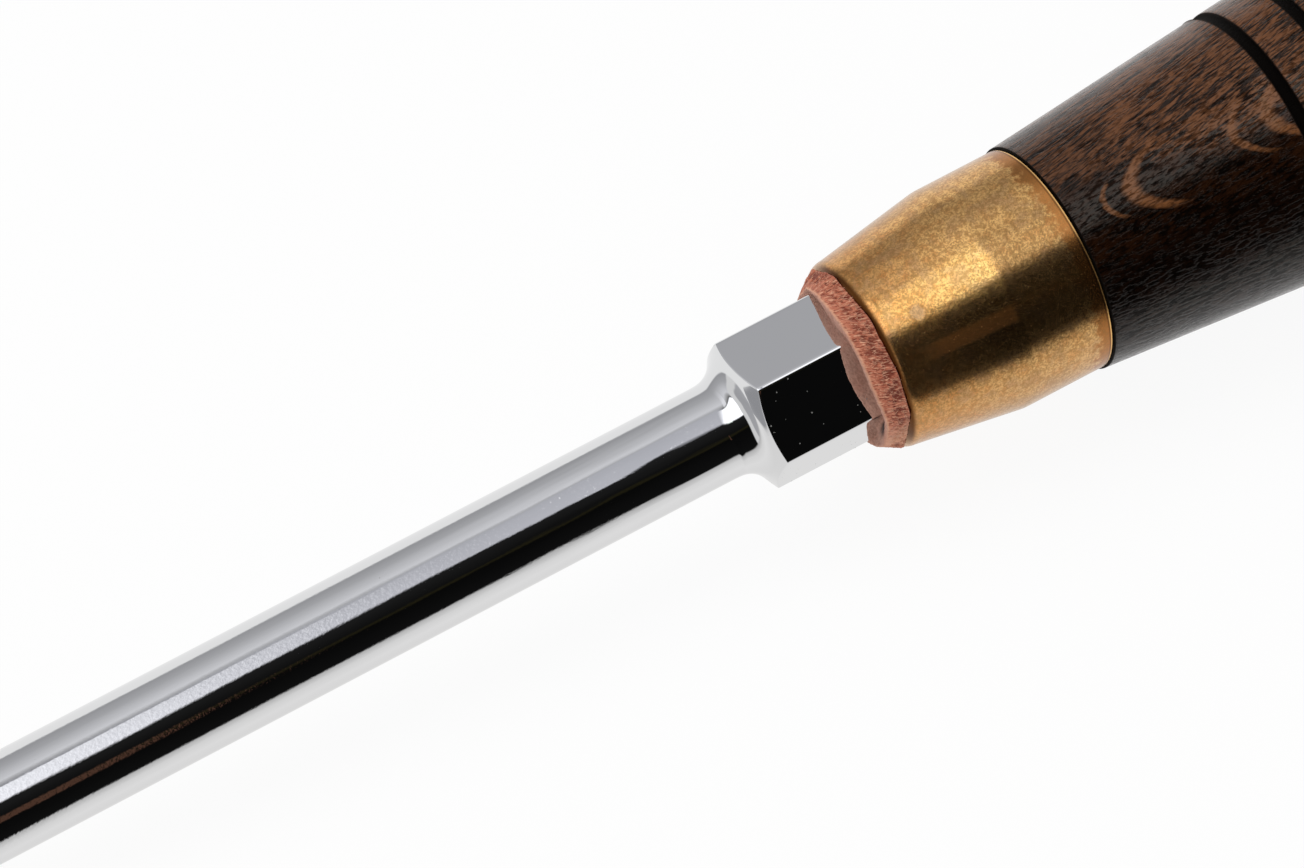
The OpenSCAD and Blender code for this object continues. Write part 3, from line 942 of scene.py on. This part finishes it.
def handle_profile(sizes):
    """Outside of the wood behind the ferrule, as pairs of radius and distance along the axis."""
    seam, butt, largest = FERRULE_SPAN[1], HANDLE_SPAN[1], HANDLE_SPAN[2]
    flare, swell = sizes.flare_angle, mm(sizes.swell_radius)
    first_r = FERRULE_SPAN[2] + mm(sizes.wood_proud)
    offset = swell - largest
    flare_r = swell * math.cos(flare) - offset
    flare_end = (flare_r - first_r) / math.tan(flare)
    peak = flare_end + swell * math.sin(flare)
    drop = largest - mm(sizes.butt_diameter) / 2
    behind = butt - seam - peak
    rear = (behind**2 + drop**2) / (2 * drop)
    rounding = mm(sizes.butt_rounding)
    centre_z = butt - seam - rounding
    centre_r = math.sqrt((rear - rounding) ** 2 - (centre_z - peak) ** 2) - (rear - largest)
    slope = math.asin((centre_z - peak) / (rear - rounding))

    def radius(z):
        if z <= flare_end:
            return first_r + z * math.tan(flare)
        if z <= peak:
            return math.sqrt(swell**2 - (z - peak) ** 2) - offset
        return math.sqrt(rear**2 - (z - peak) ** 2) - (rear - largest)

    groove = mm(sizes.groove_width) / 2
    cuts = [place - seam for place in groove_places(sizes)]
    last = peak + rear * math.sin(slope)
    plain = [z for z in np.linspace(0.25, last, 70) if all(abs(z - cut) > groove + 0.12 for cut in cuts)]
    pairs = [(first_r - 0.06, 0.0), (first_r - 0.018, 0.018), (radius(0.06), 0.06)]
    pairs += [(radius(z), z) for z in plain]
    for cut in cuts:
        for angle in np.radians(np.linspace(0, 180, 19)):
            z = cut - groove * math.cos(angle)
            pairs.append((radius(cut) - groove * math.sin(angle) * 0.98, z))
        for side in (-1, 1):
            z = cut + side * (groove + 0.05)
            pairs.append((radius(z) - 0.01, z))
    pairs.sort(key=lambda pair: pair[1])
    pairs += arc(centre_r, centre_z, rounding, math.degrees(slope), 90, 14)[1:]
    return [(r, seam + z) for r, z in pairs]


def handle_rings(sizes):
    """Rings of the wood: the part inside the ferrule, the turned outside, and the mortise for the tang."""
    turns = full_turn(256)
    front, seam, largest = FERRULE_SPAN
    inset = mm(sizes.ferrule_wall) + CLEARANCE
    front_r, outer = mm(sizes.ferrule_front) / 2 - inset, largest - inset
    lip = mm(sizes.ferrule_lip) / 2
    mortise = polygon_radius(turns, 4, mm(sizes.tang_width) / 2 + CLEARANCE, 0.02)
    inside = [(front_r - lip, front + inset), (front_r, front + inset + lip)]
    inside += [(outer, front + mm(sizes.ferrule_taper)), (outer, seam)]
    ends = (mortise, front + inset), (mortise, HANDLE_SPAN[1])
    return turned([ends[0], *inside, *handle_profile(sizes), ends[1]], turns)


def butt_washer_rings():
    """Rings of the leather disc, with slightly rounded edges and a barrelled, layered rim."""
    turns = full_turn(256)
    front, back, outer = BUTT_WASHER_SPAN
    rows = [(TAIL_HOLE, front), (outer - 0.3, front)]
    for part in np.linspace(0, 1, 25):
        layers = unevenness(np.random.default_rng(31), turns, np.full_like(turns, part), 40, 14)
        edge = 0.22 * (2 * abs(part - 0.5)) ** 6
        z = front + 0.03 + (back - front - 0.06) * part
        rows.append((outer - 0.06 - edge + 0.04 * layers, z))
    rows += [(outer - 0.4, back), (TAIL_HOLE, back)]
    return turned(rows, turns)


def cap_rings(sizes):
    """Rings of the striking cap: straight rim, softened chamfer, flat face and the rivet's countersink."""
    turns = full_turn(256)
    front, back, outer = CAP_SPAN
    chamfer, sink = mm(sizes.cap_chamfer), mm(sizes.rivet_diameter) / 2 + CLEARANCE
    profile = [(TAIL_HOLE, front), (outer - 0.15, front)]
    profile += [(outer - 0.04, front + 0.04), (outer, front + 0.15)]
    profile += [(outer, back - chamfer - 0.15), (outer - 0.02, back - chamfer - 0.04)]
    profile += [(outer - 0.07, back - chamfer + 0.04), (outer - chamfer + 0.07, back - 0.10)]
    profile += [(outer - chamfer - 0.02, back - 0.03), (outer - chamfer - 0.15, back)]
    profile += [(r, back) for r in np.linspace(outer - chamfer - 0.6, sink + 0.4, 6)]
    profile += [(sink + 0.06, back), (sink - 0.02, back - 0.06)]
    profile += [(TAIL_HOLE, back - (sink - TAIL_HOLE))]
    return turned(profile, turns)


def chosen(context):
    """The sizes and colours that the user has set."""
    return context.scene.screwdriver_sizes, context.scene.screwdriver_colours


class SCREWDRIVER_OT_blade(bpy.types.Operator):
    """Forge the chromed blade with its hexagonal bolster, tang and riveted tail"""

    bl_idname = "screwdriver.blade"
    bl_label = "Chromed blade"

    def execute(self, context):
        sizes, colours = chosen(context)
        piece = skin("chromed_blade", blade_rings(sizes), chrome_finish(colours, sizes), False)
        fit(piece, "blade")
        return {"FINISHED"}


class SCREWDRIVER_OT_bolster_washer(bpy.types.Operator):
    """Cut the leather washer that sits between the bolster and the ferrule"""

    bl_idname = "screwdriver.bolster_washer"
    bl_label = "Leather bolster washer"

    def execute(self, context):
        sizes, colours = chosen(context)
        rings, *shares = washer_rings(sizes)
        fibres = loose_fibres(rings)
        piece = skin("leather_bolster_washer", rings, leather_finish(colours), True, fibres)
        for (name, on_fibres), on_washer in zip(PAINTED.items(), shares):
            paint(piece, name, np.append(on_washer, np.full(len(fibres[0]), on_fibres)))
        fit(piece, "bolster_washer")
        return {"FINISHED"}


class SCREWDRIVER_OT_ferrule(bpy.types.Operator):
    """Spin the brass ferrule that holds the front of the wood together"""

    bl_idname = "screwdriver.ferrule"
    bl_label = "Brass ferrule"

    def execute(self, context):
        sizes, colours = chosen(context)
        piece = skin("brass_ferrule", ferrule_rings(sizes), brass_finish(colours, sizes), True)
        fit(piece, "ferrule")
        return {"FINISHED"}


class SCREWDRIVER_OT_handle(bpy.types.Operator):
    """Turn the wooden handle with its scorched grooves"""

    bl_idname = "screwdriver.handle"
    bl_label = "Wooden handle"

    def execute(self, context):
        sizes, colours = chosen(context)
        piece = skin("wooden_handle", handle_rings(sizes), wood_finish(colours, sizes), True)
        fit(piece, "handle")
        return {"FINISHED"}


class SCREWDRIVER_OT_butt(bpy.types.Operator):
    """Add the leather disc and the steel striking cap at the butt"""

    bl_idname = "screwdriver.butt"
    bl_label = "Butt leather and striking cap"

    def execute(self, context):
        sizes, colours = chosen(context)
        disc = skin("leather_butt_washer", butt_washer_rings(), butt_leather_finish(colours), True)
        fit(disc, "butt_washer")
        cap = skin("steel_striking_cap", cap_rings(sizes), steel_finish(colours), True)
        fit(cap, "striking_cap")
        return {"FINISHED"}


def surroundings(studio):
    """The studio as the metal shows it: white all round, a soft lamp above and a dark side in front."""
    world = bpy.data.worlds.new("white_studio")
    bpy.context.scene.world = world
    w = Wiring(world)
    direction = w.node("ShaderNodeTexCoord").outputs["Generated"]
    top_share, front_share, _ = outward(NEAR_TURN)
    facing = top_share * TOP + front_share * FRONT
    along = w.dot(direction, AXIS)
    around = w.math("ARCTAN2", w.dot(direction, AXIS.cross(facing)), w.dot(direction, facing))
    place = w.range(around, -math.pi, math.pi, smooth=False)

    def at(degrees):
        return (degrees + 180) / 360

    later = w.range(along, 0.06, 0.18, 4 / 360, 9 / 360, smooth=False)
    later = w.times(later, w.fade(along, 0.2, 0.24))
    later = w.plus(later, w.range(along, 0.309, 0.316, 0, 7 / 360))
    lowered = w.times(w.range(place, at(38), at(46)), later)
    raised = w.range(along, -0.6, 0.2, 22 / 360, 0, smooth=False)
    lifted = w.times(w.fade(place, at(-32), at(-24)), raised)
    place = w.plus(w.less(place, lowered), lifted)

    def sky(stops):
        """Levels round the tool's axis, from pairs of degrees and level or colour."""
        return w.ramp(place, [(at(degrees), level) for degrees, level in stops])

    cool, violet = Vector((0.985, 0.99, 1.03)), Vector((0.985, 0.995, 1.08))
    warm, greenish = Vector((1, 0.994, 0.988)), Vector((1.58, 1.72, 1.62))
    back = [(-180, 0.92), (-113, 0.92)]
    over = back + [(-108, 0.37 * cool), (-85, 0.455 * cool)]
    dim_lamp = [(-52, 0.74 * cool), (-46, 0.49 * cool), (-42, 0.51 * violet)]
    dim_lamp += [(-11, 0.58 * violet), (-7, 0.014)]
    lit_lamp = [(-52, 0.74 * cool), (-43, 0.3), (-41, 0.04)]
    lit_lamp += [(-39, 1.6 * cool), (-10, 1.6 * cool), (-6, 0.014)]
    glow = [(-62, 0.74 * cool), (-52, 0.92 * cool), (-43, 0.86 * cool), (-41.3, 0.06)]
    glow += [(-39.6, 0.95 * cool), (-37, greenish), (-8.5, greenish), (-4.5, 0.014)]
    dark = [(20, 0.006), (24, (0.016, 0.014, 0.006)), (28, 0.003), (71, 0.006)]
    ground = [(75, 0.56 * warm), (90, 0.82 * warm), (112, 0.90 * warm)]
    ground += [(150, 0.82 * warm), (180, 0.86 * warm)]
    lamps = (dim_lamp, lit_lamp, glow)
    handle_side, lamp_side, soft_side = (sky(over + lamp + dark + ground) for lamp in lamps)
    bright_line = sky(back + [(-104, 0.75), (68, 0.75)] + ground)
    tip_side = sky(back + [(-104, 0.46 * cool), (-60, 0.41 * cool), (68, 0.44 * cool)] + ground)
    rear_side = sky(back + [(-108, 0.8), (-12, 0.8), (-5, 0.12), (68, 0.12)] + ground)
    stripe = sky([(20, 0), (22, 1), (31, 1), (33, 0)])
    strip = sky([(-44, 0), (-40, 1), (-12, 1), (-8, 0)])
    level = w.layers(
        lamp_side,
        (w.window(along, -0.08, -0.04, 0.12, 0.17), soft_side),
        (w.range(along, 0.19, 0.268, smooth=False), handle_side),
        (w.fade(along, -0.72, -0.67), bright_line),
        (w.fade(along, -0.88, -0.84), tip_side),
        (w.range(along, 0.4, 0.5), rear_side),
        (w.times(stripe, w.window(along, 0.216, 0.222, 0.233, 0.25)), (0.085, 0.042, 0.028)),
        (w.times(strip, w.window(along, 0.2968, 0.2985, 0.308, 0.312)), (1.35, 1.35, 1.38)),
    )
    paths = w.node("ShaderNodeLightPath").outputs
    plain = 3 * (studio.plain_level,)
    shown = w.layers(plain, (paths["Is Glossy Ray"], level), (paths["Is Camera Ray"], (1, 1, 1)))
    background = w.node("ShaderNodeBackground", (shown, 1)).outputs[0]
    w.node("ShaderNodeOutputWorld", (background,))
    world.cycles.sampling_method = "NONE"


def floor_finish():
    """White floor that keeps a faint shadow of the tool."""
    w = finish("white_floor")
    seen = w.node("ShaderNodeLightPath").outputs["Is Camera Ray"]
    white = w.node("ShaderNodeEmission", ((1, 1, 1), w.blend(seen, 0.8, 1))).outputs[0]
    matt = w.node("ShaderNodeBsdfDiffuse", ((0.9, 0.9, 0.9),)).outputs[0]
    mixed = w.node("ShaderNodeMixShader", (w.blend(seen, 0.7, 0.93), matt, white)).outputs[0]
    w.node("ShaderNodeOutputMaterial", (mixed,))
    return w.owner


class SCREWDRIVER_OT_stage(bpy.types.Operator):
    """Set up the white floor, the soft light and the camera"""

    bl_idname = "screwdriver.stage"
    bl_label = "Studio"

    def execute(self, context):
        scene, studio = context.scene, context.scene.screwdriver_studio
        scene.view_settings.view_transform = "Standard"
        surroundings(studio)

        sides = ((-1, -1), (1, -1), (1, 1), (-1, 1))
        corners = [(x * FLOOR_REACH, y * FLOOR_REACH, 0) for x, y in sides]
        mesh = bpy.data.meshes.new("studio_floor")
        mesh.from_pydata(corners, [], [(0, 1, 2, 3)])
        mesh.materials.append(floor_finish())
        floor = add_object("studio_floor", mesh)
        floor.visible_glossy = False

        lamp = bpy.data.lights.new("soft_lamp", "AREA")
        lamp.shape, lamp.size = "DISK", LAMP_SIZE
        lamp.energy = studio.lamp_level * math.pi**2 * LAMP_PLACE.z**2 * LAMP_GAIN
        holder = add_object("soft_lamp", lamp)
        holder.location = LAMP_PLACE
        holder.rotation_mode = "QUATERNION"
        holder.rotation_quaternion = LAMP_PLACE.to_track_quat("Z", "Y")
        holder.visible_glossy = False

        right = Vector((math.cos(studio.azimuth), math.sin(studio.azimuth), 0))
        ahead = Vector((-right.y, right.x, 0))
        sight = math.cos(studio.elevation) * ahead - math.sin(studio.elevation) * Vector((0, 0, 1))
        up = right.cross(sight)
        level_right = math.cos(studio.roll) * right + math.sin(studio.roll) * up
        level_up = math.cos(studio.roll) * up - math.sin(studio.roll) * right
        aim = TIP + AXIS * (WASHER_SPAN[0] * MM) + (level_right * AIM[0] + level_up * AIM[1]) * MM
        camera = bpy.data.cameras.new("camera")
        camera.lens, camera.sensor_width = studio.lens, SENSOR
        camera.clip_start, camera.clip_end = CAMERA_REACH
        stand = add_object("camera", camera)
        stand.matrix_world = Matrix((level_right, level_up, -sight)).transposed().to_4x4()
        stand.location = aim - sight * studio.distance
        scene.camera = stand
        return {"FINISHED"}


class SCREWDRIVER_PT_panel(bpy.types.Panel):
    """Builds the screwdriver and lists its sizes and colours"""

    bl_idname = "SCREWDRIVER_PT_panel"
    bl_label = "Screwdriver"
    bl_space_type = "VIEW_3D"
    bl_region_type = "UI"
    bl_category = "Screwdriver"

    def draw(self, context):
        for step in STEPS:
            self.layout.operator(step.bl_idname)
        for group in GROUPS:
            box = self.layout.box()
            settings = getattr(context.scene, group)
            for name in settings.__annotations__:
                box.prop(settings, name)


GROUPS = {
    "screwdriver_sizes": ScrewdriverSizes,
    "screwdriver_colours": ScrewdriverColours,
    "screwdriver_studio": StudioSettings,
}
STEPS = (
    SCREWDRIVER_OT_blade,
    SCREWDRIVER_OT_bolster_washer,
    SCREWDRIVER_OT_ferrule,
    SCREWDRIVER_OT_handle,
    SCREWDRIVER_OT_butt,
    SCREWDRIVER_OT_stage,
)


def register():
    for kind in (*GROUPS.values(), *STEPS, SCREWDRIVER_PT_panel):
        bpy.utils.register_class(kind)
    for name, kind in GROUPS.items():
        setattr(bpy.types.Scene, name, PointerProperty(type=kind))


def unregister():
    for name in GROUPS:
        delattr(bpy.types.Scene, name)
    for kind in (SCREWDRIVER_PT_panel, *reversed(STEPS), *GROUPS.values()):
        bpy.utils.unregister_class(kind)


def main():
    register()
    bpy.ops.screwdriver.blade()
    bpy.ops.screwdriver.bolster_washer()
    bpy.ops.screwdriver.ferrule()
    bpy.ops.screwdriver.handle()
    bpy.ops.screwdriver.butt()
    bpy.ops.screwdriver.stage()


if __name__ == "__main__":
    main()
